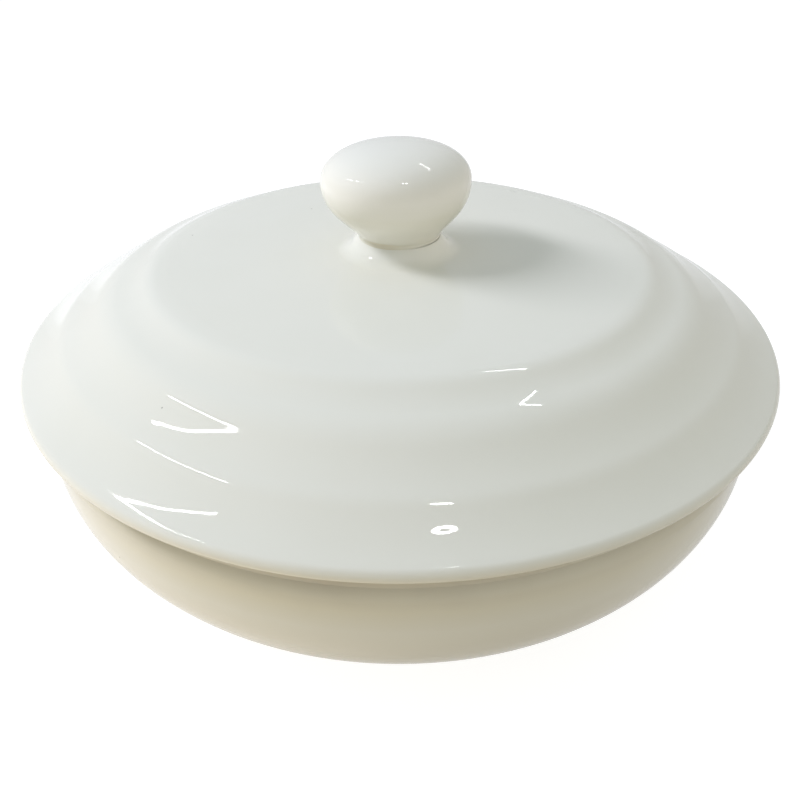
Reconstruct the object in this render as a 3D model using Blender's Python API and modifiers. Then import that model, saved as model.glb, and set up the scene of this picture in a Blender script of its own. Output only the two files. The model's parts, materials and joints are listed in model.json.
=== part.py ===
"""Lidded compartment dish in glazed porcelain: a round dish with four compartments, a stepped lid
that lifts off, and a knob luted into the lid's collar. Metres, +Z up, origin under the foot ring."""

from math import atan, atan2, cos, pi, radians, sin, sqrt, tan

import bmesh
import bpy

# Gap left between pieces that touch
SEAM = 0.0003

# Lid: its lip is a half round, and its upper side is flat round the collar and falls to the lip over
# three nosings. A slope is the height lost over a distance outwards. It is stated where each nosing
# begins, where each riser is steepest and where the skirt is shallowest, and changes evenly in between.
LID_RADIUS = 0.1100
LID_EDGE_HEIGHT = 0.0585
LIP_ROUND = 0.0028
LIP_SLOPE = 0.50
LID_WALL = 0.0050
FLAT_RADIUS = 0.0660
NOSING_RADII = (0.0704, 0.0812, 0.0963)
NOSING_SLOPES = (0.06, 0.24, 0.46)
RISER_RADII = (0.0744, 0.0878, 0.0989)
RISER_SLOPES = (0.49, 0.67, 0.70)
SKIRT_RADIUS = 0.1072
SKIRT_SLOPE = 0.46

# Collar: a short cone on top of the lid with a fillet at its foot and a recess for the knob's spigot
COLLAR_TOP_RADIUS = 0.0124
COLLAR_RISE = 0.0043
COLLAR_LEAN = radians(50)
COLLAR_FILLET = 0.0030
RECESS_DEPTH = 0.0016

# Locating flange under the lid
FLANGE_OUTER_RADIUS = 0.0998
FLANGE_WALL = 0.0042
FLANGE_DROP = 0.0092
FLANGE_FILLET = 0.0025

# Knob: flattened dome over a pear-shaped taper
KNOB_RADIUS = 0.0215
KNOB_EQUATOR_HEIGHT = 0.0997
KNOB_DOME_HEIGHT = 0.0105
KNOB_DOME_POWER = 2.2
KNOB_SHOULDER = 0.0067
KNOB_NECK_RADIUS = 0.0117
KNOB_NECK_RUN = 0.0072
KNOB_NECK_LEAN = radians(30)

# Dish: a near upright wall over a round belly that turns in to the foot ring
BELLY_RADIUS = 0.1069
BELLY_HEIGHT = 0.0392
BELLY_ROUND = 0.0346
DISH_WALL = 0.0047
RIM_OUTER_RADIUS = 0.1062
FOOT_RADIUS = 0.0620
FOOT_WIDTH = 0.0036
FOOT_TAPER = 0.0014
FOOT_EDGE = 0.0006
BASE_CLEARANCE = 0.0058

# Compartments: four pockets between two crossed walls
CREST_HEIGHT = 0.0445
CREST_ROUND = 0.0020
DIVIDER_CREST_HALF = 0.0026
DIVIDER_BASE_HALF = 0.0034
POCKET_FILLET = 0.0060
POCKET_CENTRE_CORNER = 0.0080
POCKET_WALL_CORNER = 0.0070
POCKET_LEDGE = 0.0006

# How finely each curve is cut into facets
TURN_STEPS = 56
KNOB_STEPS = 40
FALL_PARTS = 3
COLLAR_POINTS = 6
KNOB_DOME_STEPS = 8
KNOB_TAPER_STEPS = 7
LIP_POINTS = 7
FLANGE_POINTS = 5
RIM_POINTS = 7
BELLY_POINTS = 12
CORNER_POINTS = 5
POCKET_WALL_POINTS = 14
BELLY_LEVELS = 9
CREST_LEVELS = 3
CREST_TURN = radians(60)

PORCELAIN = (0.78, 0.78, 0.71, 1.0)
GLAZE_ROUGHNESS = 0.12

COLLAR_CONE_RISE = COLLAR_RISE - COLLAR_FILLET * (1 - cos(COLLAR_LEAN))
COLLAR_RUN = COLLAR_CONE_RISE / tan(COLLAR_LEAN) + COLLAR_FILLET * sin(COLLAR_LEAN)
COLLAR_FOOT_RADIUS = COLLAR_TOP_RADIUS + COLLAR_RUN
SEAT_HEIGHT = LID_EDGE_HEIGHT - LIP_ROUND
RIM_HEIGHT = SEAT_HEIGHT - SEAM
INNER_RADIUS = BELLY_RADIUS - DISH_WALL
BELLY_CENTRE = BELLY_RADIUS - BELLY_ROUND
POCKET_ROUND = BELLY_ROUND - DISH_WALL
FLOOR_HEIGHT = BELLY_HEIGHT - POCKET_ROUND
UNDERSIDE_HEIGHT = BELLY_HEIGHT - BELLY_ROUND


def clear_scene():
    for old in list(bpy.data.objects):
        bpy.data.objects.remove(old, do_unlink=True)


def new_collection(name):
    collection = bpy.data.collections.new(name)
    bpy.context.scene.collection.children.link(collection)
    return collection


def glaze(name):
    material = bpy.data.materials.new(name)
    material.use_nodes = True
    shader = material.node_tree.nodes["Principled BSDF"]
    shader.inputs["Base Color"].default_value = PORCELAIN
    shader.inputs["Roughness"].default_value = GLAZE_ROUGHNESS
    shader.inputs["Metallic"].default_value = 0.0
    return material


def arc(centre, radius, first, last, count):
    """Points on a circle in the profile plane, from one angle to another."""
    angles = [first + (last - first) * i / (count - 1) for i in range(count)]
    return [(centre[0] + radius * cos(a), centre[1] + radius * sin(a)) for a in angles]


def turned(name, profile, steps, collection):
    """A profile of (radius, height) points, axis to axis, turned about +Z."""
    mesh = bpy.data.meshes.new(name)
    edges = [(i, i + 1) for i in range(len(profile) - 1)]
    mesh.from_pydata([(radius, 0.0, height) for radius, height in profile], edges, [])
    piece = bpy.data.objects.new(name, mesh)
    collection.objects.link(piece)
    screw = piece.modifiers.new("turn", "SCREW")
    screw.steps = steps
    screw.render_steps = steps
    screw.use_merge_vertices = True
    screw.merge_threshold = 0.00001
    screw.use_smooth_shade = True
    mesh.materials.append(glaze(name + "_glaze"))
    return piece


def lid_falls():
    """How steeply the lid falls at each radius, from the collar's foot to the start of the lip."""
    falls = [(COLLAR_FOOT_RADIUS, 0.0), (FLAT_RADIUS, 0.0)]
    nosings = zip(NOSING_RADII, NOSING_SLOPES)
    risers = zip(RISER_RADII, RISER_SLOPES)
    for nosing, riser in zip(nosings, risers):
        falls += [nosing, riser]
    lip_start = LID_RADIUS - LIP_ROUND + LIP_ROUND * sin(atan(LIP_SLOPE))
    return falls + [(SKIRT_RADIUS, SKIRT_SLOPE), (lip_start, LIP_SLOPE)]


def lid_height(radius):
    """Height of the lid's upper side, added up from the lip inwards, without the collar."""
    height = LID_EDGE_HEIGHT + LIP_ROUND * cos(atan(LIP_SLOPE))
    falls = lid_falls()
    for (inner, inner_slope), (outer, outer_slope) in reversed(list(zip(falls, falls[1:]))):
        start = max(inner, min(radius, outer))
        start_slope = inner_slope + (outer_slope - inner_slope) * (start - inner) / (outer - inner)
        height += (outer - start) * (start_slope + outer_slope) / 2
    return height


def lid_radii(parts):
    """Radii from the collar's foot to the lip, each stretch between two slopes cut in equal parts."""
    knots = [radius for radius, _ in lid_falls()]
    stretches = zip(knots, knots[1:])
    return [a + (b - a) * i / parts for a, b in stretches for i in range(parts)]


def lid_profile():
    collar_foot = lid_height(0.0)
    collar_top = collar_foot + COLLAR_RISE
    recess_radius = KNOB_NECK_RADIUS + SEAM
    recess_floor = collar_top - RECESS_DEPTH
    profile = [(0.0, recess_floor), (recess_radius, recess_floor)]
    profile.append((recess_radius, collar_top - SEAM))
    profile.append((COLLAR_TOP_RADIUS, collar_top))
    fillet_centre = (COLLAR_FOOT_RADIUS, collar_foot + COLLAR_FILLET)
    profile += arc(fillet_centre, COLLAR_FILLET, -pi / 2 - COLLAR_LEAN, -pi / 2, COLLAR_POINTS)[:-1]
    profile += [(radius, lid_height(radius)) for radius in lid_radii(FALL_PARTS)]

    lip_centre = (LID_RADIUS - LIP_ROUND, LID_EDGE_HEIGHT)
    profile += arc(lip_centre, LIP_ROUND, pi / 2 - atan(LIP_SLOPE), -pi / 2, LIP_POINTS)
    profile.append((FLANGE_OUTER_RADIUS, SEAT_HEIGHT))
    flange_end = (FLANGE_OUTER_RADIUS - FLANGE_WALL / 2, SEAT_HEIGHT - FLANGE_DROP + FLANGE_WALL / 2)
    profile += arc(flange_end, FLANGE_WALL / 2, 0.0, -pi, FLANGE_POINTS)

    flange_inner = FLANGE_OUTER_RADIUS - FLANGE_WALL
    profile.append((flange_inner, lid_height(flange_inner) - LID_WALL - FLANGE_FILLET))
    under = [radius for radius in lid_radii(1) if radius < flange_inner - FLANGE_FILLET]
    profile += [(radius, lid_height(radius) - LID_WALL) for radius in reversed(under)]
    profile.append((0.0, collar_foot - LID_WALL))
    return profile


def knob_profile():
    neck_height = lid_height(0.0) + COLLAR_RISE
    profile = []
    for i in range(KNOB_DOME_STEPS):
        turn = pi / 2 * (1 - i / KNOB_DOME_STEPS)
        radius = KNOB_RADIUS * cos(turn) ** (2 / KNOB_DOME_POWER)
        height = KNOB_EQUATOR_HEIGHT + KNOB_DOME_HEIGHT * sin(turn) ** (2 / KNOB_DOME_POWER)
        profile.append((radius if i else 0.0, height))

    # The taper is one curve that leaves the widest line upright and reaches the neck leaning in
    neck_pull = (KNOB_NECK_RUN * sin(KNOB_NECK_LEAN), KNOB_NECK_RUN * cos(KNOB_NECK_LEAN))
    controls = (
        (KNOB_RADIUS, KNOB_EQUATOR_HEIGHT),
        (KNOB_RADIUS, KNOB_EQUATOR_HEIGHT - KNOB_SHOULDER),
        (KNOB_NECK_RADIUS + neck_pull[0], neck_height + neck_pull[1]),
        (KNOB_NECK_RADIUS, neck_height),
    )
    for i in range(KNOB_TAPER_STEPS + 1):
        t = i / KNOB_TAPER_STEPS
        weights = ((1 - t) ** 3, 3 * t * (1 - t) ** 2, 3 * t * t * (1 - t), t**3)
        profile.append(tuple(sum(w * point[k] for w, point in zip(weights, controls)) for k in (0, 1)))

    spigot_end = neck_height - RECESS_DEPTH + SEAM
    profile += [(KNOB_NECK_RADIUS, spigot_end), (0.0, spigot_end)]
    return profile


def dish_profile():
    rim_round = (RIM_OUTER_RADIUS - INNER_RADIUS) / 2
    rim_centre = (INNER_RADIUS + rim_round, RIM_HEIGHT - rim_round)
    profile = [(0.0, CREST_HEIGHT), (INNER_RADIUS, CREST_HEIGHT)]
    profile += arc(rim_centre, rim_round, pi, 0.0, RIM_POINTS)

    # The upright wall swells from the rim to the belly, then the belly turns under
    for share in (1 / 3, 2 / 3):
        swell = (BELLY_RADIUS - RIM_OUTER_RADIUS) * (1 - (1 - share) ** 2)
        height = rim_centre[1] + (BELLY_HEIGHT - rim_centre[1]) * share
        profile.append((RIM_OUTER_RADIUS + swell, height))
    profile += arc((BELLY_CENTRE, BELLY_HEIGHT), BELLY_ROUND, 0.0, -pi / 2, BELLY_POINTS)

    foot_inner = FOOT_RADIUS - FOOT_WIDTH
    profile += [
        (FOOT_RADIUS + FOOT_TAPER, UNDERSIDE_HEIGHT),
        (FOOT_RADIUS, FOOT_EDGE),
        (FOOT_RADIUS - FOOT_EDGE, 0.0),
        (foot_inner + FOOT_EDGE, 0.0),
        (foot_inner, FOOT_EDGE),
        (foot_inner - FOOT_TAPER, BASE_CLEARANCE),
        (0.0, BASE_CLEARANCE),
    ]
    return profile


def pocket_reach(height):
    """Inner radius of the dish at a height."""
    below = max(BELLY_HEIGHT - height, 0.0)
    return BELLY_CENTRE + sqrt(POCKET_ROUND**2 - below**2) - POCKET_LEDGE


def pocket_outline(inset, reach):
    """A quarter pocket seen from above: two straight sides, the round wall, and rounded corners."""
    centre_corner = (inset + POCKET_CENTRE_CORNER, inset + POCKET_CENTRE_CORNER)
    side = inset + POCKET_WALL_CORNER
    along = sqrt((reach - POCKET_WALL_CORNER) ** 2 - side**2)
    swing = atan2(side, along)
    outline = arc(centre_corner, POCKET_CENTRE_CORNER, pi, 1.5 * pi, CORNER_POINTS)
    outline += arc((along, side), POCKET_WALL_CORNER, -pi / 2, swing, CORNER_POINTS)
    outline += arc((0.0, 0.0), reach, swing, pi / 2 - swing, POCKET_WALL_POINTS)[1:-1]
    outline += arc((side, along), POCKET_WALL_CORNER, pi / 2 - swing, pi, CORNER_POINTS)
    return outline


def pocket_inset(height):
    """How far a pocket's straight sides stand off the wall's middle: the wall tapers upwards, with
    a fillet at its foot and a rounded crest."""
    share = (height - FLOOR_HEIGHT) / (CREST_HEIGHT - FLOOR_HEIGHT)
    half_wall = DIVIDER_BASE_HALF + (DIVIDER_CREST_HALF - DIVIDER_BASE_HALF) * share
    foot = max(POCKET_FILLET - (height - FLOOR_HEIGHT), 0.0)
    crest = max(height - (CREST_HEIGHT - CREST_ROUND), 0.0)
    fillet = POCKET_FILLET - sqrt(POCKET_FILLET**2 - foot**2)
    rounding = CREST_ROUND - sqrt(CREST_ROUND**2 - crest**2)
    return half_wall + fillet - rounding


def pocket_levels():
    """(height, inset, reach) of each level of a pocket, from its floor up past the crest."""
    belly = arc((0.0, BELLY_HEIGHT), POCKET_ROUND, -pi / 2, 0.0, BELLY_LEVELS)
    crest = arc((0.0, CREST_HEIGHT - CREST_ROUND), CREST_ROUND, 0.0, CREST_TURN, CREST_LEVELS)
    heights = [height for _, height in belly + crest]
    levels = [(height, pocket_inset(height), pocket_reach(height)) for height in heights]
    height, inset, reach = levels[-1]
    levels.append((height + CREST_ROUND / 2, inset - CREST_ROUND / 2, reach - POCKET_LEDGE))
    return levels


def pocket_cutter(name, quarter, collection):
    """A quarter pocket as a closed loft through its levels, turned to its quarter of the dish."""
    bm = bmesh.new()
    rings = []
    for height, inset, reach in pocket_levels():
        rings.append([bm.verts.new((x, y, height)) for x, y in pocket_outline(inset, reach)])
    for lower, upper in zip(rings, rings[1:]):
        for i in range(len(lower)):
            following = (i + 1) % len(lower)
            bm.faces.new((lower[i], lower[following], upper[following], upper[i]))
    bm.faces.new(list(reversed(rings[0])))
    bm.faces.new(rings[-1])
    mesh = bpy.data.meshes.new(name)
    bm.to_mesh(mesh)
    bm.free()
    cutter = bpy.data.objects.new(name, mesh)
    cutter.rotation_euler.z = quarter * pi / 2
    cutter.hide_render = True
    cutter.display_type = "WIRE"
    collection.objects.link(cutter)


def make_dish(parts):
    pockets = new_collection("pocket_cutters")
    for quarter in range(4):
        pocket_cutter(f"pocket_cutter_{quarter + 1}", quarter, pockets)
    dish = turned("dish", dish_profile(), TURN_STEPS, parts)
    cut = dish.modifiers.new("pockets", "BOOLEAN")
    cut.operation = "DIFFERENCE"
    cut.operand_type = "COLLECTION"
    cut.collection = pockets
    cut.solver = "EXACT"


clear_scene()
part_collection = new_collection("lidded_compartment_dish")
make_dish(part_collection)
lid = turned("lid", lid_profile(), TURN_STEPS, part_collection)
knob = turned("knob", knob_profile(), KNOB_STEPS, part_collection)
knob.parent = lid
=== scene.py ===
"""Looks of the lidded compartment dish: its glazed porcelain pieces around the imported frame, a pale
table, soft light and the camera. Metres, +Z up, origin under the foot ring."""

import json
from math import acos, atan, atan2, cos, hypot, pi, radians, sin, sqrt, tan

import bmesh
import bpy
from mathutils import Matrix, Vector

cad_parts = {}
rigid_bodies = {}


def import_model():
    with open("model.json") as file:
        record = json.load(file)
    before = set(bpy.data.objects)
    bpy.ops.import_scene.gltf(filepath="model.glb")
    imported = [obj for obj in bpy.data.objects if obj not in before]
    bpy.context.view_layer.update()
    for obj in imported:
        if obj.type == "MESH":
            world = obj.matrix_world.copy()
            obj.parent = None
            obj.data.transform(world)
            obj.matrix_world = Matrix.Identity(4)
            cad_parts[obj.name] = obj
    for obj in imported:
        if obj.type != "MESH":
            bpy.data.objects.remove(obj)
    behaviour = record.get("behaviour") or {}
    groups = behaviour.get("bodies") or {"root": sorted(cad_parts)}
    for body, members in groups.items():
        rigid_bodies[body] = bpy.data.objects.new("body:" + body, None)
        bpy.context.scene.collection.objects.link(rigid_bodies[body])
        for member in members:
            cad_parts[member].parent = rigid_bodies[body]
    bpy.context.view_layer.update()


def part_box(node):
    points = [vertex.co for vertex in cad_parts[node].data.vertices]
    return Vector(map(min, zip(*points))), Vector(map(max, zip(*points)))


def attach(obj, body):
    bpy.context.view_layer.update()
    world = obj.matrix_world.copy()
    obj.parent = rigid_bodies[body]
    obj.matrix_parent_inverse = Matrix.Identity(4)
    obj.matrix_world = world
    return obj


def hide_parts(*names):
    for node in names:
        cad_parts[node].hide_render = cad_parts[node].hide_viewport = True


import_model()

# Dish
# A round porcelain bowl, cast in one mould with its foot ring and the crossed walls of its four
# compartments, then dipped in clear glaze. It stands in the kiln on the foot ring, which is ground bare.
_, dish_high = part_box("dish")
BELLY_RADIUS = dish_high.x
RIM_HEIGHT = dish_high.z
BELLY_HEIGHT = 0.0392
BELLY_ROUND = 0.0346
DISH_WALL = 0.0047
GALLERY_RADIUS = 0.1055
SHOULDER_ROUND = 0.0050
SHOULDER_HEIGHT = 0.0480
FOOT_RADIUS = 0.0620
FOOT_WIDTH = 0.0036
FOOT_TAPER = 0.0014
FOOT_EDGE = 0.0006
FOOT_FILLET = 0.0016
FOOT_BARE = 0.00036
BASE_CLEARANCE = 0.0058
CREST_HEIGHT = 0.0445
CREST_ROUND = 0.0020
DIVIDER_CREST_HALF = 0.0026
DIVIDER_BASE_HALF = 0.0034
POCKET_FILLET = 0.0060
POCKET_CENTRE_CORNER = 0.0080
POCKET_WALL_CORNER = 0.0070
POCKET_LEDGE = 0.0006
LEDGE_LEFT = 0.0001
INNER_RADIUS = BELLY_RADIUS - DISH_WALL
BELLY_CENTRE = BELLY_RADIUS - BELLY_ROUND
POCKET_ROUND = BELLY_ROUND - DISH_WALL
FLOOR_HEIGHT = BELLY_HEIGHT - POCKET_ROUND
UNDERSIDE_HEIGHT = BELLY_HEIGHT - BELLY_ROUND
DISH_TURN_STEPS = 200
WALL_PARTS = 4
RIM_POINTS = 17
SHOULDER_POINTS = 25
BELLY_POINTS = 37
FOOT_FILLET_POINTS = 6
FOOT_EDGE_POINTS = 5
POCKET_SIDE_PARTS = 8
POCKET_CENTRE_POINTS = 13
POCKET_CORNER_POINTS = 15
POCKET_WALL_POINTS = 48
POCKET_BELLY_LEVELS = 25
POCKET_CREST_LEVELS = 9
SEED_SIZE = 0.001
WELD = 0.000002
CREASE_ANGLE = radians(40)

# The glaze runs off ridges and gathers in hollows. Its depth is a share of a full pool: PLAIN_DEPTH on a
# plain wall, HOLLOW_GAIN more in a hollow of TIGHT_HOLLOW's radius or less, and up to RIDGE_LOSS of that
# gain less on a ridge, evened out by EVEN_OUT rounds of averaging. A pocket holds FLOOR_POOL more on its
# floor and CREST_LOSS less on its crest. Outside, from a set height up to the rim, painted shade under
# the lid's lip is added to the depth and turns the colour to umber.
PLAIN_DEPTH = 0.20
TIGHT_HOLLOW = 0.0040
HOLLOW_GAIN = 0.06
RIDGE_LOSS = 0.8
EVEN_OUT = 12
RIM_SHADE = 0.80
RIM_SHADE_START = 0.0390
FLOOR_POOL = 0.12
CREST_LOSS = 0.15
SHADE_UMBER = (0.470, 0.430, 0.350, 1.0)


def arc(centre, radius, first, last, count):
    """Points on a circle in the outline's plane, from one angle to another."""
    angles = [first + (last - first) * i / (count - 1) for i in range(count)]
    return [(centre[0] + radius * cos(a), centre[1] + radius * sin(a)) for a in angles]


def glaze_depths(outline):
    """Glaze depth at each point of an outline that runs clockwise round its solid."""
    turns = [0.0]
    for before, here, after in zip(outline, outline[1:], outline[2:]):
        a = (here[0] - before[0], here[1] - before[1])
        b = (after[0] - here[0], after[1] - here[1])
        turn = atan2(a[0] * b[1] - a[1] * b[0], a[0] * b[0] + a[1] * b[1])
        turns.append(2 * turn / (hypot(*a) + hypot(*b)))
    turns.append(0.0)
    shares = [max(-RIDGE_LOSS, min(1.0, turn * TIGHT_HOLLOW)) for turn in turns]
    depths = [PLAIN_DEPTH + HOLLOW_GAIN * share for share in shares]
    for _ in range(EVEN_OUT):
        between = [(a + 2 * b + c) / 4 for a, b, c in zip(depths, depths[1:], depths[2:])]
        depths = [depths[0]] + between + [depths[-1]]
    return depths


def turn_on_wheel(name, outline, steps, depths):
    """Draws a half outline of (radius, height) points out of one point and spins it about the axis."""
    bpy.ops.object.select_all(action="DESELECT")
    bpy.ops.mesh.primitive_plane_add(size=SEED_SIZE, calc_uvs=False)
    piece = bpy.context.object
    piece.name = name
    piece.data.name = name
    bpy.ops.object.mode_set(mode="EDIT")
    bpy.ops.mesh.merge(type="CENTER")
    bpy.ops.transform.translate(value=(outline[0][0], 0.0, outline[0][1]))
    for start, end in zip(outline, outline[1:]):
        step = (end[0] - start[0], 0.0, end[1] - start[1])
        bpy.ops.mesh.extrude_vertices_move(TRANSFORM_OT_translate={"value": step})
    drawn = bmesh.from_edit_mesh(piece.data)
    layer = drawn.verts.layers.float.new("glaze_depth")
    for vert, depth in zip(drawn.verts, depths):
        vert[layer] = depth
    bpy.ops.mesh.select_all(action="SELECT")
    bpy.ops.mesh.spin(steps=steps, angle=2 * pi, center=(0.0, 0.0, 0.0), axis=(0.0, 0.0, 1.0))
    bpy.ops.object.mode_set(mode="OBJECT")
    return piece


def close_and_smooth(piece):
    """Welds the seam and the poles, turns every face outwards and shades the piece smooth."""
    bpy.ops.object.select_all(action="DESELECT")
    piece.select_set(True)
    bpy.context.view_layer.objects.active = piece
    bpy.ops.object.mode_set(mode="EDIT")
    bpy.ops.mesh.select_all(action="SELECT")
    bpy.ops.mesh.remove_doubles(threshold=WELD)
    bpy.ops.mesh.normals_make_consistent(inside=False)
    bpy.ops.object.mode_set(mode="OBJECT")
    bpy.ops.object.shade_smooth_by_angle(angle=CREASE_ANGLE)


class Wash:
    """One output among a finish's nodes: sums on it add Math nodes, and node() adds any other."""

    def __init__(self, tree, socket=None):
        self.tree = tree
        self.socket = socket

    def node(self, kind, settings, inputs, output=0):
        """Adds a node with its settings, then its inputs' values or links, and gives one output."""
        made = self.tree.nodes.new(kind)
        for name, value in settings.items():
            if name == "stops":
                elements = made.color_ramp.elements
                while len(elements) < len(value):
                    elements.new(1.0)
                for element, (place, colour) in zip(elements, value):
                    element.position = place
                    element.color = colour
            else:
                setattr(made, name, value)
        for key, value in inputs.items():
            if isinstance(value, Wash):
                self.tree.links.new(value.socket, made.inputs[key])
            else:
                made.inputs[key].default_value = value
        return Wash(self.tree, made.outputs[output])

    def math(self, operation, first, second):
        return self.node("ShaderNodeMath", {"operation": operation}, {0: first, 1: second})

    def __add__(self, other):
        return self.math("ADD", self, other)

    def __radd__(self, other):
        return self.math("ADD", other, self)

    def __sub__(self, other):
        return self.math("SUBTRACT", self, other)

    def __rsub__(self, other):
        return self.math("SUBTRACT", other, self)

    def __mul__(self, other):
        return self.math("MULTIPLY", self, other)

    def __rmul__(self, other):
        return self.math("MULTIPLY", other, self)

    def step(self, low, high):
        """0 below one value, 1 above the other and smooth between, or 1 to 0 where low is above high."""
        ends = {
            "From Min": min(low, high),
            "From Max": max(low, high),
            "To Min": float(low > high),
            "To Max": float(low < high),
        }
        smooth = {"interpolation_type": "SMOOTHSTEP"}
        return self.node("ShaderNodeMapRange", smooth, {"Value": self, **ends})

    def noise(self, scale, detail):
        """Cloudy noise about 0.5 at this place, with features about 1 / scale metres across."""
        return self.node("ShaderNodeTexNoise", {}, {"Vector": self, "Scale": scale, "Detail": detail})

    def between(self, first, second):
        """A colour between two, at this share of the way. The Mix node's sockets for colours share their
        names with its other sockets, so they are given by number."""
        first_socket, second_socket, result_socket = 6, 7, 2
        inputs = {"Factor": self, first_socket: first, second_socket: second}
        return self.node("ShaderNodeMix", {"data_type": "RGBA"}, inputs, result_socket)


def glaze(name, bare_below, deepest):
    """Clear glaze over white porcelain: deeper in hollows, painted shade where the depth carries it, a
    few specks, bare clay below a height.
    """
    ridge = (0.845, 0.838, 0.785, 1.0)
    ivory = (0.815, 0.808, 0.738, 1.0)
    cream = (0.745, 0.722, 0.605, 1.0)
    cloud_tint = (0.780, 0.780, 0.705, 1.0)
    speck_tint = (0.170, 0.155, 0.125, 1.0)
    clay = (0.640, 0.610, 0.545, 1.0)
    cream_depth = 0.50
    flow_least, flow_swing = 0.85, 0.30
    cloud_range = (0.42, 0.75)
    cloud_share = 0.35
    speck_cells = 85.0
    speck_draw = (0.28, 0.30)
    speck_range = (0.034, 0.022)
    speck_raggedness = 0.02
    speck_share = 0.70
    waver_height = 0.0004
    bare_edge = (0.00024, 0.00014)
    smear_range = (0.45, 0.80)
    refraction = 1.52
    glaze_roughness = 0.020
    smear_roughness = 0.040
    clay_roughness = 0.62
    ripple_height = 0.000035
    peel_height = 0.000002
    pit_height = 0.00006
    clay_grain_height = 0.00003

    # Scale and detail of each noise
    flow_noise = (60.0, 2.0)
    cloud_noise = (14.0, 3.0)
    speck_noise = (3000.0, 1.0)
    waver_noise = (350.0, 2.0)
    smear_noise = (38.0, 4.0)
    ripple_noise = (75.0, 1.0)
    peel_noise = (700.0, 1.0)
    clay_noise = (5000.0, 2.0)

    material = bpy.data.materials.new(name)
    material.use_nodes = True
    tree = material.node_tree
    shader = tree.nodes["Principled BSDF"]
    place = Wash(tree).node("ShaderNodeTexCoord", {}, {}, "Object")
    depth_with_shade = Wash(tree).node("ShaderNodeAttribute", {"attribute_name": "glaze_depth"}, {}, "Fac")
    height = place.node("ShaderNodeSeparateXYZ", {}, {"Vector": place}, "Z")

    # Ivory all over, paler on ridges, creamier in hollows and darkest where the glaze lies deepest and
    # where painted shade was added to the depth
    flow = place.noise(*flow_noise)
    depth = depth_with_shade * (flow_least + flow_swing * flow)
    stops = ((0.0, ridge), (PLAIN_DEPTH, ivory), (cream_depth, cream), (1.0, deepest))
    body = depth.node("ShaderNodeValToRGB", {"stops": stops}, {"Fac": depth})
    clouds = place.noise(*cloud_noise).step(*cloud_range)
    body = (clouds * cloud_share).between(body, cloud_tint)

    # Specks: most Voronoi cells hold a dark dot well under a millimetre across, and the few that lie on
    # the surface show
    cells = {"Vector": place, "Scale": speck_cells}
    dot = place.node("ShaderNodeTexVoronoi", {}, cells, "Distance")
    draw = place.node("ShaderNodeTexVoronoi", {}, cells, "Color")
    chosen = draw.node("ShaderNodeSeparateColor", {}, {"Color": draw}, "Red").step(*speck_draw)
    ragged = speck_raggedness * place.noise(*speck_noise)
    speck = (dot + ragged).step(*speck_range) * chosen
    body = (speck * speck_share).between(body, speck_tint)

    # Bare clay below a wavering line where the glaze was wiped off
    waver = waver_height * place.noise(*waver_noise)
    bare = (height + waver).step(*(bare_below + edge for edge in bare_edge))
    body = bare.between(body, clay)
    tree.links.new(body.socket, shader.inputs["Base Color"])

    smears = place.noise(*smear_noise).step(*smear_range)
    gloss = glaze_roughness + smear_roughness * smears
    roughness = gloss + bare * (clay_roughness - gloss)
    tree.links.new(roughness.socket, shader.inputs["Roughness"])

    ripple = place.noise(*ripple_noise)
    peel = place.noise(*peel_noise)
    clay_grain = place.noise(*clay_noise)
    relief = ripple * ripple_height + peel * peel_height - speck * pit_height
    relief = relief + bare * clay_grain * clay_grain_height
    bump = relief.node("ShaderNodeBump", {}, {"Height": relief, "Distance": 1.0, "Strength": 1.0})
    tree.links.new(bump.socket, shader.inputs["Normal"])
    shader.inputs["IOR"].default_value = refraction
    return material


def dish_outline():
    """From the inner wall at the crests over the rim, down the outside and under to the axis."""
    rim_round = (GALLERY_RADIUS - INNER_RADIUS) / 2
    rim_centre = (INNER_RADIUS + rim_round, RIM_HEIGHT - rim_round)
    inner_wall = rim_centre[1] - CREST_HEIGHT
    outline = [(INNER_RADIUS, CREST_HEIGHT + inner_wall * i / WALL_PARTS) for i in range(WALL_PARTS)]
    outline += arc(rim_centre, rim_round, pi, 0.0, RIM_POINTS)

    # A thin upright gallery for the lid, a round shoulder beside it, then the belly turns under
    shoulder_centre = (BELLY_RADIUS - SHOULDER_ROUND, SHOULDER_HEIGHT)
    shoulder_start = acos((GALLERY_RADIUS - shoulder_centre[0]) / SHOULDER_ROUND)
    outline += arc(shoulder_centre, SHOULDER_ROUND, shoulder_start, 0.0, SHOULDER_POINTS)
    wall = SHOULDER_HEIGHT - BELLY_HEIGHT
    outline += [(BELLY_RADIUS, SHOULDER_HEIGHT - wall * i / WALL_PARTS) for i in range(1, WALL_PARTS)]
    outline += arc((BELLY_CENTRE, BELLY_HEIGHT), BELLY_ROUND, 0.0, -pi / 2, BELLY_POINTS)

    # The foot ring: a small fillet, a slightly leaning wall, a ground edge and the hollow inside it
    foot_inner = FOOT_RADIUS - FOOT_WIDTH
    outer_corner = (FOOT_RADIUS + FOOT_TAPER + FOOT_FILLET, UNDERSIDE_HEIGHT - FOOT_FILLET)
    outline += arc(outer_corner, FOOT_FILLET, pi / 2, pi, FOOT_FILLET_POINTS)
    outline += arc((FOOT_RADIUS - FOOT_EDGE, FOOT_EDGE), FOOT_EDGE, 0.0, -pi / 2, FOOT_EDGE_POINTS)
    outline += arc((foot_inner + FOOT_EDGE, FOOT_EDGE), FOOT_EDGE, -pi / 2, -pi, FOOT_EDGE_POINTS)
    inner_corner = (foot_inner - FOOT_TAPER - FOOT_FILLET, BASE_CLEARANCE - FOOT_FILLET)
    outline += arc(inner_corner, FOOT_FILLET, 0.0, pi / 2, FOOT_FILLET_POINTS)
    shares = [i / WALL_PARTS for i in reversed(range(WALL_PARTS))]
    return outline + [(inner_corner[0] * share, BASE_CLEARANCE) for share in shares]


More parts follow.
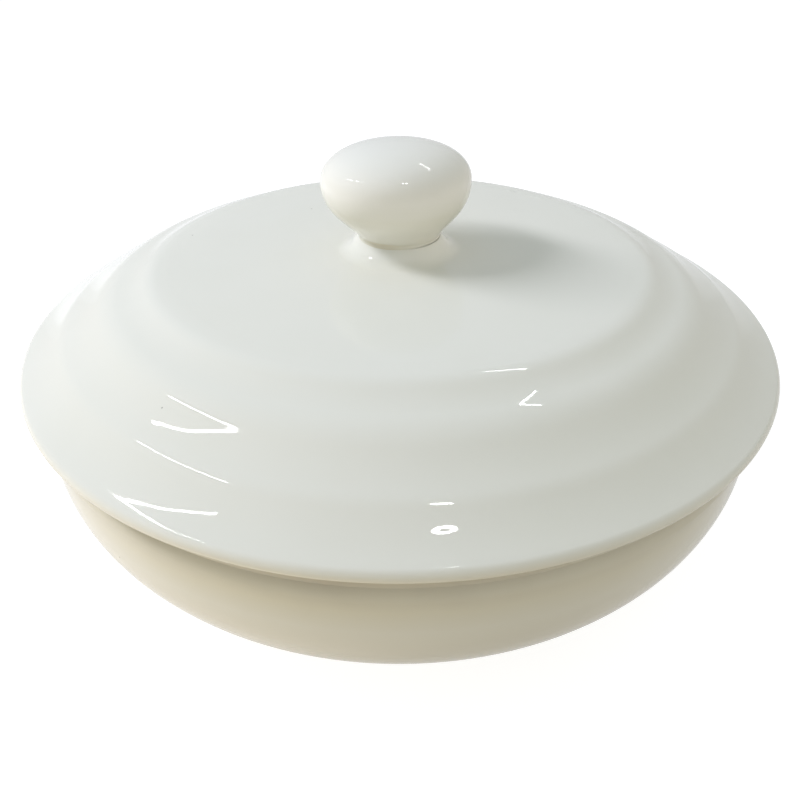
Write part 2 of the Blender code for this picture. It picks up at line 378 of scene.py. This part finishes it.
def pocket_reach(height):
    """Inner radius of the dish at a height; at the crests the pocket runs out to the inner wall."""
    below = max(BELLY_HEIGHT - height, 0.0)
    share = max((height - BELLY_HEIGHT) / (CREST_HEIGHT - BELLY_HEIGHT), 0.0)
    ledge = POCKET_LEDGE + (LEDGE_LEFT - POCKET_LEDGE) * share * share * (3 - 2 * share)
    return BELLY_CENTRE + sqrt(POCKET_ROUND**2 - below**2) - ledge


def pocket_inset(height):
    """How far a pocket's straight sides stand off the wall's middle: the wall tapers upwards, with
    a fillet at its foot and a rounded crest."""
    share = (height - FLOOR_HEIGHT) / (CREST_HEIGHT - FLOOR_HEIGHT)
    half_wall = DIVIDER_BASE_HALF + (DIVIDER_CREST_HALF - DIVIDER_BASE_HALF) * share
    foot = max(POCKET_FILLET - (height - FLOOR_HEIGHT), 0.0)
    crest = max(height - (CREST_HEIGHT - CREST_ROUND), 0.0)
    fillet = POCKET_FILLET - sqrt(POCKET_FILLET**2 - foot**2)
    rounding = CREST_ROUND - sqrt(max(CREST_ROUND**2 - crest**2, 0.0))
    return half_wall + fillet - rounding


def pocket_outline(height):
    """A quarter pocket seen from above: two straight sides, the round wall, and rounded corners."""
    inset = pocket_inset(height)
    reach = pocket_reach(height)
    middle = inset + POCKET_CENTRE_CORNER
    side = inset + POCKET_WALL_CORNER
    along = sqrt((reach - POCKET_WALL_CORNER) ** 2 - side**2)
    swing = atan2(side, along)
    parts = POCKET_SIDE_PARTS
    straight = [middle + (along - middle) * i / parts for i in range(1, parts)]
    outline = arc((middle, middle), POCKET_CENTRE_CORNER, pi, 1.5 * pi, POCKET_CENTRE_POINTS)
    outline += [(x, inset) for x in straight]
    outline += arc((along, side), POCKET_WALL_CORNER, -pi / 2, swing, POCKET_CORNER_POINTS)
    outline += arc((0.0, 0.0), reach, swing, pi / 2 - swing, POCKET_WALL_POINTS)[1:-1]
    outline += arc((side, along), POCKET_WALL_CORNER, pi / 2 - swing, pi, POCKET_CORNER_POINTS)
    return outline + [(inset, y) for y in reversed(straight)]


def pocket_depth(height):
    """Glaze gathers along the floor of a pocket and thins over the crests."""
    floor_share = max(1 - (height - FLOOR_HEIGHT) / POCKET_FILLET, 0.0)
    crest_share = max((height - CREST_HEIGHT) / CREST_ROUND + 1, 0.0)
    return PLAIN_DEPTH + FLOOR_POOL * floor_share - CREST_LOSS * crest_share


def make_pockets():
    """One pocket lofted ring by ring from floor to crest, then copied to the other three quarters."""
    belly = arc((0.0, BELLY_HEIGHT), POCKET_ROUND, -pi / 2, 0.0, POCKET_BELLY_LEVELS)
    crest_centre = (0.0, CREST_HEIGHT - CREST_ROUND)
    crest = arc(crest_centre, CREST_ROUND, 0.0, pi / 2, POCKET_CREST_LEVELS)
    heights = [height for _, height in belly + crest]
    ring_size = len(pocket_outline(heights[0]))
    bpy.ops.object.select_all(action="DESELECT")
    bpy.ops.mesh.primitive_circle_add(vertices=ring_size, calc_uvs=False)
    pockets = bpy.context.object
    bpy.ops.object.mode_set(mode="EDIT")
    bmesh.from_edit_mesh(pockets.data).verts.layers.float.new("glaze_depth")
    for level, height in enumerate(heights):
        if level:
            bpy.ops.mesh.select_all(action="DESELECT")
            bpy.ops.mesh.primitive_circle_add(vertices=ring_size, calc_uvs=False)
        loft = bmesh.from_edit_mesh(pockets.data)
        layer = loft.verts.layers.float["glaze_depth"]
        rings = list(loft.verts)
        for vert, (x, y) in zip(rings[level * ring_size:], pocket_outline(height)):
            vert.co = (x, y, height)
            vert[layer] = pocket_depth(height)
        if level:
            for vert in rings[(level - 1) * ring_size:]:
                vert.select = True
            loft.select_flush(True)
            bpy.ops.mesh.bridge_edge_loops()
    loft = bmesh.from_edit_mesh(pockets.data)
    bpy.ops.mesh.select_all(action="DESELECT")
    for vert in list(loft.verts)[:ring_size]:
        vert.select = True
    loft.select_flush(True)
    bpy.ops.mesh.edge_face_add()
    for _ in range(3):
        bpy.ops.mesh.select_linked()
        bpy.ops.mesh.duplicate()
        bpy.ops.transform.rotate(value=pi / 2, orient_axis="Z", center_override=(0.0, 0.0, 0.0))
    bpy.ops.object.mode_set(mode="OBJECT")
    return pockets


def paint_rim_shade(outline, depths):
    """The same glaze depths, with painted shade added on the outer wall, darker the nearer it comes to
    the rim under the lid's lip.
    """
    depth_with_shade = []
    for (radius, height), depth in zip(outline, depths):
        share = (height - RIM_SHADE_START) / (RIM_HEIGHT - RIM_SHADE_START)
        depth_with_shade.append(depth + RIM_SHADE * max(share, 0.0) * (radius > INNER_RADIUS))
    return depth_with_shade


shell_outline = dish_outline()
shell_depths_and_shade = paint_rim_shade(shell_outline, glaze_depths(shell_outline))
dish = turn_on_wheel("dish_glazed", shell_outline, DISH_TURN_STEPS, shell_depths_and_shade)
pockets = make_pockets()

# The shell and the pockets become one body, closed by the flat top of the crossed walls
bpy.ops.object.select_all(action="DESELECT")
pockets.select_set(True)
dish.select_set(True)
bpy.context.view_layer.objects.active = dish
bpy.ops.object.join()
bpy.ops.object.mode_set(mode="EDIT")
bpy.ops.mesh.select_all(action="SELECT")
bpy.ops.mesh.remove_doubles(threshold=WELD)
bpy.ops.mesh.select_all(action="DESELECT")
bpy.ops.mesh.select_non_manifold(
    extend=False, use_wire=False, use_multi_face=False, use_non_contiguous=False, use_verts=False
)
bpy.ops.mesh.fill(use_beauty=True)
bpy.ops.object.mode_set(mode="OBJECT")
close_and_smooth(dish)
dish.data.materials.append(glaze("dish_glaze", FOOT_BARE, SHADE_UMBER))
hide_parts("dish")
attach(dish, "dish")

# Lid
# A stepped porcelain cover, turned on a mould: a flat top with a conical collar, three rounded nosings
# and a half round lip above, a seat and a locating flange below. It is fired standing on the flange,
# whose end is wiped bare.
lid_low, lid_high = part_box("lid")
LID_RADIUS = lid_high.x
FLANGE_END = lid_low.z
LID_EDGE_HEIGHT = 0.05887
LIP_ROUND = 0.0022
LIP_SLOPE = 0.50
LID_WALL = 0.0050
FLAT_RADIUS = 0.0660
NOSING_RADII = (0.0704, 0.0812, 0.0963)
NOSING_SLOPES = (0.06, 0.24, 0.46)
RISER_RADII = (0.0744, 0.0878, 0.0989)
RISER_SLOPES = (0.49, 0.67, 0.70)
SKIRT_RADIUS = 0.1072
SKIRT_SLOPE = 0.46
COLLAR_TOP_RADIUS = 0.0124
COLLAR_RISE = 0.0043
COLLAR_LEAN = radians(50)
COLLAR_FILLET = 0.0060
COLLAR_RIM = 0.0004
COLLAR_CONE_RISE = COLLAR_RISE - COLLAR_FILLET * (1 - cos(COLLAR_LEAN))
COLLAR_RUN = COLLAR_CONE_RISE / tan(COLLAR_LEAN) + COLLAR_FILLET * sin(COLLAR_LEAN)
COLLAR_FOOT_RADIUS = COLLAR_TOP_RADIUS + COLLAR_RUN
RECESS_DEPTH = 0.0016
FLANGE_OUTER_RADIUS = 0.0998
FLANGE_WALL = 0.0042
FLANGE_FILLET = 0.0025
FLANGE_BARE = 0.0009
SEAT_MARGIN = 0.0008
SEAT_GAP = 0.0001
SEAT_CHAMFER = 0.0006
SEAT_RADIUS = GALLERY_RADIUS + SEAT_MARGIN
SEAT_HEIGHT = RIM_HEIGHT + SEAT_GAP
KNOB_NECK_RADIUS = 0.0117
KNOB_SEAT_GAP = 0.00006
# Painted shade on the underside of the lip, added to the glaze depth
LIP_SHADE = 0.25
LID_TURN_STEPS = 240
FALL_PARTS = 11
UNDER_PARTS = 4
UNDER_START = 0.0030
UNDER_SHARES = (0.66, 0.33, 0.0)
COLLAR_RIM_POINTS = 13
COLLAR_FILLET_POINTS = 17
LIP_POINTS = 21
FLANGE_POINTS = 15
FLANGE_FILLET_POINTS = 8


def lid_falls():
    """How steeply the lid falls at each radius, from the collar's foot to the start of the lip."""
    falls = [(COLLAR_FOOT_RADIUS, 0.0), (FLAT_RADIUS, 0.0)]
    nosings = zip(NOSING_RADII, NOSING_SLOPES)
    risers = zip(RISER_RADII, RISER_SLOPES)
    for nosing, riser in zip(nosings, risers):
        falls += [nosing, riser]
    lip_start = LID_RADIUS - LIP_ROUND + LIP_ROUND * sin(atan(LIP_SLOPE))
    return falls + [(SKIRT_RADIUS, SKIRT_SLOPE), (lip_start, LIP_SLOPE)]


def lid_height(radius):
    """Height of the lid's upper side, added up from the lip inwards, without the collar."""
    height = LID_EDGE_HEIGHT + LIP_ROUND * cos(atan(LIP_SLOPE))
    falls = lid_falls()
    for (inner, inner_slope), (outer, outer_slope) in reversed(list(zip(falls, falls[1:]))):
        start = max(inner, min(radius, outer))
        start_slope = inner_slope + (outer_slope - inner_slope) * (start - inner) / (outer - inner)
        height += (outer - start) * (start_slope + outer_slope) / 2
    return height


def lid_radii(parts):
    """Radii from the collar's foot to the lip, each stretch between two slopes cut in equal parts."""
    knots = [radius for radius, _ in lid_falls()]
    stretches = zip(knots, knots[1:])
    return [a + (b - a) * i / parts for a, b in stretches for i in range(parts)]


COLLAR_TOP = lid_height(0.0) + COLLAR_RISE


def lid_outline():
    """From the collar's recess over the top and the lip, then along the underside to the axis."""
    collar_foot = lid_height(0.0)
    recess_radius = KNOB_NECK_RADIUS + KNOB_SEAT_GAP
    recess_floor = COLLAR_TOP - RECESS_DEPTH
    outline = [(0.0, recess_floor), (recess_radius, recess_floor)]

    # The collar's rim is rounded over on both sides, and its cone ends in a fillet
    rim_inset = COLLAR_RIM * (1 - cos(COLLAR_LEAN)) / sin(COLLAR_LEAN)
    rim_centre = (COLLAR_TOP_RADIUS - rim_inset, COLLAR_TOP - COLLAR_RIM)
    outline += arc(rim_centre, COLLAR_RIM, pi, pi / 2 - COLLAR_LEAN, COLLAR_RIM_POINTS)
    fillet_centre = (COLLAR_FOOT_RADIUS, collar_foot + COLLAR_FILLET)
    fillet_start = -pi / 2 - COLLAR_LEAN
    outline += arc(fillet_centre, COLLAR_FILLET, fillet_start, -pi / 2, COLLAR_FILLET_POINTS)[:-1]
    outline += [(radius, lid_height(radius)) for radius in lid_radii(FALL_PARTS)]

    lip_centre = (LID_RADIUS - LIP_ROUND, LID_EDGE_HEIGHT)
    outline += arc(lip_centre, LIP_ROUND, pi / 2 - atan(LIP_SLOPE), -pi / 2, LIP_POINTS)
    outline += [(SEAT_RADIUS, SEAT_HEIGHT), (FLANGE_OUTER_RADIUS + SEAT_CHAMFER, SEAT_HEIGHT)]
    outline.append((FLANGE_OUTER_RADIUS, SEAT_HEIGHT - SEAT_CHAMFER))
    flange_centre = (FLANGE_OUTER_RADIUS - FLANGE_WALL / 2, FLANGE_END + FLANGE_WALL / 2)
    outline += arc(flange_centre, FLANGE_WALL / 2, 0.0, -pi, FLANGE_POINTS)

    # Inside the flange the underside follows the upper side at an even wall
    flange_inner = FLANGE_OUTER_RADIUS - FLANGE_WALL
    ceiling = lid_height(flange_inner - FLANGE_FILLET) - LID_WALL
    corner = (flange_inner - FLANGE_FILLET, ceiling - FLANGE_FILLET)
    outline += arc(corner, FLANGE_FILLET, 0.0, pi / 2, FLANGE_FILLET_POINTS)
    under = [radius for radius in lid_radii(UNDER_PARTS) if radius < flange_inner - UNDER_START]
    outline += [(radius, lid_height(radius) - LID_WALL) for radius in reversed(under)]
    middle = collar_foot - LID_WALL
    return outline + [(COLLAR_FOOT_RADIUS * share, middle) for share in UNDER_SHARES]


def paint_lip_shade(outline, depths):
    """The same glaze depths, with painted shade added on the underside of the lip."""
    depth_with_shade = []
    for (radius, height), depth in zip(outline, depths):
        drop = (LID_EDGE_HEIGHT - height) / LIP_ROUND * (radius > FLANGE_OUTER_RADIUS)
        depth_with_shade.append(depth + LIP_SHADE * max(drop, 0.0))
    return depth_with_shade


cover_outline = lid_outline()
cover_depths_and_shade = paint_lip_shade(cover_outline, glaze_depths(cover_outline))
lid = turn_on_wheel("lid_glazed", cover_outline, LID_TURN_STEPS, cover_depths_and_shade)
close_and_smooth(lid)
lid.data.materials.append(glaze("lid_glaze", FLANGE_END + FLANGE_BARE, SHADE_UMBER))
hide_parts("lid")
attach(lid, "lid")

# Knob
# A flattened, pear-shaped grip, cast on its own and stuck into the lid's collar with slip before both
# were glazed together. The glaze hides the joint but for a darker line in the crease.
knob_low, knob_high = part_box("knob")
KNOB_RADIUS = knob_high.x
KNOB_EQUATOR_HEIGHT = 0.0997
KNOB_DOME_HEIGHT = 0.0105
KNOB_DOME_POWER = 2.2
KNOB_SHOULDER = 0.0082
KNOB_NECK_RUN = 0.0064
KNOB_NECK_LEAN = radians(30)
KNOB_BARE = 0.0003
KNOB_TURN_STEPS = 160
CURVE_PARTS = 40
POOL_POINTS = 11
KNOB_SLUMP = -0.00095
POOL_ROUND = 0.0012
POOL_LEAST = 0.35
POOL_DEPTH = 0.60
# Painted shade on the knob below its widest line, reaching full strength one set run down from it
NECK_SHADE = 0.30
NECK_SHADE_RUN = 0.0055
AMBER = (0.660, 0.530, 0.290, 1.0)
POOL_SIDE = radians(-26)
POOL_RISE = (COLLAR_TOP_RADIUS - KNOB_NECK_RADIUS) / (1 / tan(COLLAR_LEAN) + tan(KNOB_NECK_LEAN))
POOL_CORNER = (KNOB_NECK_RADIUS + POOL_RISE * tan(KNOB_NECK_LEAN), COLLAR_TOP + POOL_RISE)


def pool_outline():
    """A concave round of glaze between the knob's taper and the collar's cone."""
    taper_side = (cos(KNOB_NECK_LEAN), -sin(KNOB_NECK_LEAN))
    cone_side = (sin(COLLAR_LEAN), cos(COLLAR_LEAN))
    spread = POOL_ROUND / (1 + taper_side[0] * cone_side[0] + taper_side[1] * cone_side[1])
    centre = tuple(POOL_CORNER[k] + spread * (taper_side[k] + cone_side[k]) for k in (0, 1))
    return arc(centre, POOL_ROUND, pi - KNOB_NECK_LEAN, 1.5 * pi - COLLAR_LEAN, POOL_POINTS)


def knob_outline():
    """From the top over the dome, down the taper and the pool, then under to the spigot's end."""
    outline = []
    for i in range(CURVE_PARTS):
        turn = pi / 2 * (1 - i / CURVE_PARTS)
        radius = KNOB_RADIUS * max(cos(turn), 0.0) ** (2 / KNOB_DOME_POWER)
        height = KNOB_EQUATOR_HEIGHT + KNOB_DOME_HEIGHT * sin(turn) ** (2 / KNOB_DOME_POWER)
        outline.append((radius if i else 0.0, height))

    # The taper is one curve that leaves the widest line upright and reaches the neck leaning in
    neck_pull = (KNOB_NECK_RUN * sin(KNOB_NECK_LEAN), KNOB_NECK_RUN * cos(KNOB_NECK_LEAN))
    controls = (
        (KNOB_RADIUS, KNOB_EQUATOR_HEIGHT),
        (KNOB_RADIUS, KNOB_EQUATOR_HEIGHT - KNOB_SHOULDER),
        (KNOB_NECK_RADIUS + neck_pull[0], COLLAR_TOP + neck_pull[1]),
        (KNOB_NECK_RADIUS, COLLAR_TOP),
    )
    for i in range(CURVE_PARTS + 1):
        t = i / CURVE_PARTS
        weights = ((1 - t) ** 3, 3 * t * (1 - t) ** 2, 3 * t * t * (1 - t), t**3)
        outline.append(tuple(sum(w * point[k] for w, point in zip(weights, controls)) for k in (0, 1)))
    pool = pool_outline()
    outline = [point for point in outline if point[1] > pool[0][1]] + pool

    # Under the pool the foot stands clear of the collar's rim, and the spigot goes down into the recess
    foot_height = COLLAR_TOP + KNOB_SEAT_GAP
    spigot_end = COLLAR_TOP - RECESS_DEPTH + KNOB_SEAT_GAP
    outline += [(COLLAR_TOP_RADIUS, foot_height), (KNOB_NECK_RADIUS, foot_height)]
    return outline + [(KNOB_NECK_RADIUS, spigot_end), (0.0, spigot_end)]


def paint_neck_shade(outline, depths):
    """Glaze depths that are thin on the dome, with painted shade added below the widest line."""
    depth_with_shade = []
    for (_, height), depth in zip(outline, depths):
        share = min(max((KNOB_EQUATOR_HEIGHT - height) / NECK_SHADE_RUN, 0.0), 1.0)
        depth_with_shade.append(depth - PLAIN_DEPTH + NECK_SHADE * share)
    return depth_with_shade


grip_outline = knob_outline()
grip_depths_and_shade = paint_neck_shade(grip_outline, glaze_depths(grip_outline))
knob = turn_on_wheel("knob_glazed", grip_outline, KNOB_TURN_STEPS, grip_depths_and_shade)

# The glaze pooled at the front, a little to the left, and ran thin round the sides. In the kiln the grip
# slumped a little to the left between its foot and its top.
pool_top = pool_outline()[0][1]
bpy.ops.object.mode_set(mode="EDIT")
grip = bmesh.from_edit_mesh(knob.data)
layer = grip.verts.layers.float["glaze_depth"]
for vert in grip.verts:
    radius = hypot(vert.co.x, vert.co.y)
    if radius > KNOB_NECK_RADIUS + WELD and vert.co.z < pool_top + WELD:
        facing = cos(atan2(vert.co.x, -vert.co.y) - POOL_SIDE)
        share = POOL_LEAST + (1 - POOL_LEAST) * max(facing, 0.0) ** 2
        stretch = (POOL_CORNER[0] + (radius - POOL_CORNER[0]) * share) / radius
        height = POOL_CORNER[1] + (vert.co.z - POOL_CORNER[1]) * share
        vert.co = (vert.co.x * stretch, vert.co.y * stretch, height)
        vert[layer] = max(vert[layer], POOL_DEPTH * share)
    rise = (vert.co.z - COLLAR_TOP) / (knob_high.z - COLLAR_TOP)
    vert.co.x += KNOB_SLUMP * max(4 * rise * (1 - rise), 0.0)
bmesh.update_edit_mesh(knob.data)
bpy.ops.object.mode_set(mode="OBJECT")
close_and_smooth(knob)
knob.data.materials.append(glaze("knob_glaze", knob_low.z + KNOB_BARE, AMBER))
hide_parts("knob")
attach(knob, "lid")

# Table
# A plain pale table top, white to the camera apart from the dish's own soft shadow. The light that it
# throws back up at the dish is warm, and stronger on the left.
TABLE_SIZE = 14.0
TABLE_DROP = 0.00005
TABLE_LEFT = (1.46, 1.24, 0.90, 1.0)
TABLE_RIGHT = (0.16, 0.11, 0.0, 1.0)
TABLE_FADE = (0.05, -0.15)
TABLE_WHITE = (0.90, 0.90, 0.90, 1.0)
WHITE = (1.0, 1.0, 1.0, 1.0)
SHADOW_SHARE = 0.40
TABLE_GLOW = 1.45
GLOSS_DIM = 0.35


def seen_by_eye(wash):
    """1 for what the camera sees, directly, in a gloss or through glass, and 0 for other light."""
    kinds = ("Is Camera Ray", "Is Glossy Ray", "Is Transmission Ray")
    direct, gloss, glass = (wash.node("ShaderNodeLightPath", {}, {}, kind) for kind in kinds)
    return wash.math("MAXIMUM", wash.math("MAXIMUM", direct, gloss), glass)


def eye_level(wash):
    """Brightness of the white surroundings: full to the camera, a little less in a gloss."""
    return 1.0 - GLOSS_DIM * wash.node("ShaderNodeLightPath", {}, {}, "Is Glossy Ray")


bpy.ops.object.select_all(action="DESELECT")
bpy.ops.mesh.primitive_plane_add(size=TABLE_SIZE, location=(0.0, 0.0, -TABLE_DROP))
table = bpy.context.object
table.name = "table_top"
table_white = bpy.data.materials.new("table_white")
table_white.use_nodes = True
table_white.node_tree.nodes.clear()
wash = Wash(table_white.node_tree)
spot = wash.node("ShaderNodeTexCoord", {}, {}, "Object")
leftwards = spot.node("ShaderNodeSeparateXYZ", {}, {"Vector": spot}, "X").step(*TABLE_FADE)
warmth = leftwards.between(TABLE_RIGHT, TABLE_LEFT)
warm = wash.node("ShaderNodeEmission", {}, {"Color": warmth, "Strength": 1.0})

# To the camera it is white by itself, with a share of real light that keeps the dish's shadow
shaded = wash.node("ShaderNodeBsdfDiffuse", {}, {"Color": TABLE_WHITE})
lit = wash.node("ShaderNodeEmission", {}, {"Color": WHITE, "Strength": TABLE_GLOW * eye_level(wash)})
white = wash.node("ShaderNodeMixShader", {}, {0: SHADOW_SHARE, 1: lit, 2: shaded})
surface = wash.node("ShaderNodeMixShader", {}, {0: seen_by_eye(wash), 1: warm, 2: white})
output = table_white.node_tree.nodes.new("ShaderNodeOutputMaterial")
table_white.node_tree.links.new(surface.socket, output.inputs["Surface"])
table.data.materials.append(table_white)

# Light
# Even light from the whole room, a warm glow low on the right, one long slanted window on the left that
# models the steps of the lid and casts the knob's shadow, and three lamps overhead that only the glaze
# shows, mirrored as thin lines and a ring.
ROOM_LIGHT = (0.397, 0.445, 0.460, 1.0)
RIGHT_GLOW = (1.88, 1.62, 1.32, 1.0)
GLOW_TURN = radians(20)
LEAST_LEVEL = 0.000001
GLOW_FALL = ((0.0, WHITE), (0.5, (0.15, 0.15, 0.15, 1.0)), (1.0, (0.0, 0.0, 0.0, 1.0)))

room = bpy.data.worlds.new("room")
bpy.context.scene.world = room
room.use_nodes = True
room.node_tree.nodes.clear()
wash = Wash(room.node_tree)
way = wash.node("ShaderNodeTexCoord", {}, {}, "Generated")
across, along, upwards = (
    way.node("ShaderNodeSeparateXYZ", {}, {"Vector": way}, axis) for axis in "XYZ"
)

# The glow is strongest on the right, a little to the front, and fades round the room and upwards
rightwards = wash.math("MAXIMUM", across * cos(GLOW_TURN) - along * sin(GLOW_TURN), 0.0)
level = wash.math("MAXIMUM", 1.0 - upwards * upwards, LEAST_LEVEL)
fall = upwards.node("ShaderNodeValToRGB", {"stops": GLOW_FALL}, {"Fac": upwards})
glow = wash.math("DIVIDE", rightwards * rightwards, level) * fall
even = wash.node("ShaderNodeBackground", {}, {"Color": ROOM_LIGHT, "Strength": 1.0})
horizon = wash.node("ShaderNodeBackground", {}, {"Color": RIGHT_GLOW, "Strength": glow})
lighting = wash.node("ShaderNodeAddShader", {}, {0: even, 1: horizon})
white = wash.node("ShaderNodeBackground", {}, {"Color": WHITE, "Strength": eye_level(wash)})
surface = wash.node("ShaderNodeMixShader", {}, {0: seen_by_eye(wash), 1: lighting, 2: white})
output = room.node_tree.nodes.new("ShaderNodeOutputWorld")
room.node_tree.links.new(surface.socket, output.inputs["Surface"])

LIGHT_AIM = Vector((0.0, 0.0, 0.08))
WINDOW_ENDS = ((-64.0, 24.0), (-98.0, 47.0))
WINDOW_DISTANCE = 0.90
WINDOW_WIDTH = 0.18
WINDOW_POWER = 6.0
WINDOW_COLOUR = (0.99, 1.0, 1.10)
CEILING_HEIGHT = 1.60
TUBE_ENDS = ((-1.716, 0.331), (-1.086, -0.283))
TUBE_WIDTH = 0.022
TUBE_RADIANCE = 32.0
BACK_TUBE_ENDS = ((0.39, 0.96), (0.70, 0.60))
BACK_TUBE_WIDTH = 0.025
BACK_TUBE_RADIANCE = 24.0
RING_PLACE = Vector((0.132, -0.355, 0.884))
RING_SIZE = (0.080, 0.042)
RING_RADIANCE = 40.0
RING_MIDDLE = (0.5, 0.5, 0.0)
RING_HOLE = 0.20
RING_HOLE_EDGE = 0.04


def hang_lamp(name, shape, place, across, size, power):
    """An area lamp aimed at the dish, with its long side along one direction, unseen by the camera."""
    bpy.ops.object.light_add(type="AREA", location=place)
    lamp = bpy.context.object
    lamp.name = name
    lamp.data.shape = shape
    lamp.data.size, lamp.data.size_y = size
    lamp.data.energy = power
    back = (place - LIGHT_AIM).normalized()
    side = (across - across.dot(back) * back).normalized()
    turn = Matrix((side, back.cross(side), back)).transposed()
    lamp.rotation_euler = turn.to_euler()
    lamp.visible_camera = False
    return lamp


def hang_tube(name, ends, width, radiance):
    """A long ceiling lamp between two points, at a brightness seen rather than a power."""
    first, last = (Vector((x, y, CEILING_HEIGHT)) for x, y in ends)
    length = (last - first).length
    power = radiance * pi * length * width
    lamp = hang_lamp(name, "RECTANGLE", (first + last) / 2, last - first, (length, width), power)
    lamp.visible_diffuse = False


def way_to(bearing, rise):
    """Direction at a bearing clockwise from the back and a rise above the horizon, in degrees."""
    turn, lift = radians(bearing), radians(rise)
    return Vector((sin(turn) * cos(lift), cos(turn) * cos(lift), sin(lift)))


first_end, last_end = (way_to(*end) * WINDOW_DISTANCE for end in WINDOW_ENDS)
window_place = LIGHT_AIM + (first_end + last_end).normalized() * WINDOW_DISTANCE
window_size = ((last_end - first_end).length, WINDOW_WIDTH)
window = hang_lamp("window", "RECTANGLE", window_place, last_end - first_end, window_size, WINDOW_POWER)
window.data.color = WINDOW_COLOUR
window.visible_glossy = False
hang_tube("left_tube", TUBE_ENDS, TUBE_WIDTH, TUBE_RADIANCE)
hang_tube("back_tube", BACK_TUBE_ENDS, BACK_TUBE_WIDTH, BACK_TUBE_RADIANCE)

# The ring lamp is dark in its middle
ring_area = pi * RING_SIZE[0] * RING_SIZE[1] / 4
ring_power = RING_RADIANCE * pi * ring_area
sideways = Vector((1.0, 0.0, 0.0))
ring = hang_lamp("ring_lamp", "ELLIPSE", RING_PLACE, sideways, RING_SIZE, ring_power)
ring.visible_diffuse = False
ring.data.use_nodes = True
wash = Wash(ring.data.node_tree)
face = wash.node("ShaderNodeNewGeometry", {}, {}, "Parametric")
ends = {0: face, 1: RING_MIDDLE}
from_middle = wash.node("ShaderNodeVectorMath", {"operation": "DISTANCE"}, ends, "Value")
shine = from_middle.step(RING_HOLE, RING_HOLE + RING_HOLE_EDGE)
emission = ring.data.node_tree.nodes["Emission"]
ring.data.node_tree.links.new(shine.socket, emission.inputs["Strength"])

# Camera
# Close in front of the dish and a little above it, as the dish is seen at a table's edge.
CAMERA_PLACE = Vector((0.0, -0.1942, 0.1585))
CAMERA_PITCH = radians(55.17)
CAMERA_ROLL = -0.004
FIELD_OF_VIEW = radians(61.0)
NEAREST_SEEN = 0.01
bpy.ops.object.camera_add(location=CAMERA_PLACE)
camera = bpy.context.object
pitch = Matrix.Rotation(CAMERA_PITCH, 3, "X")
roll = Matrix.Rotation(CAMERA_ROLL, 3, "Z")
camera.rotation_euler = (pitch @ roll).to_euler()
camera.data.angle = FIELD_OF_VIEW
camera.data.clip_start = NEAREST_SEEN
bpy.context.scene.camera = camera
bpy.context.scene.view_settings.view_transform = "Standard"
